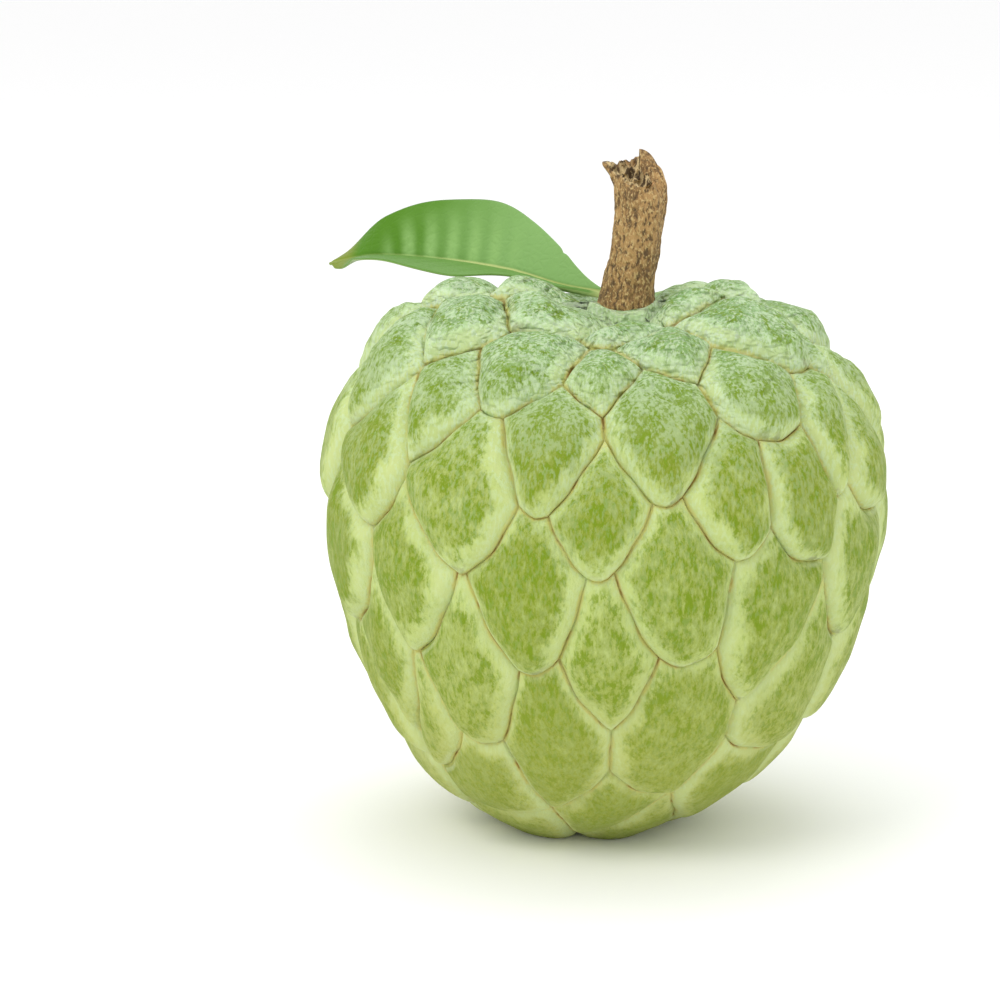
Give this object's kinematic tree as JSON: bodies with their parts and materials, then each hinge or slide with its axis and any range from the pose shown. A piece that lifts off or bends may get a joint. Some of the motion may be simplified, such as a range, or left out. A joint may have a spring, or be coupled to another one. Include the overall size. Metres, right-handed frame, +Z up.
{
  "type": "custard apple",
  "caption": "Whole ripe custard apple standing upright: heart-shaped fruit covered in fused, raised lobes, with its woody torn stalk and a folded leaf at the stalk's foot.",
  "frame": {"origin": "middle of the flat spot on the blossom end that the fruit rests on", "axes": "+Z up towards the stalk, -Y the front of the fruit, +X its right side"},
  "size_m": [0.0907, 0.0888, 0.107],
  "materials": {
    "fruit_skin": "fruit skin with a dull waxy bloom, blue-green on the shoulders and yellow-green below, cream in the grooves",
    "bark": "dry rough bark, speckled brown",
    "leaf_blade": "fresh leathery leaf with a soft sheen"
  },
  "bodies": {
    "root": {"fruit": "fruit_skin", "stalk": "bark", "leaf": "leaf_blade"}
  },
  "joints": []
}
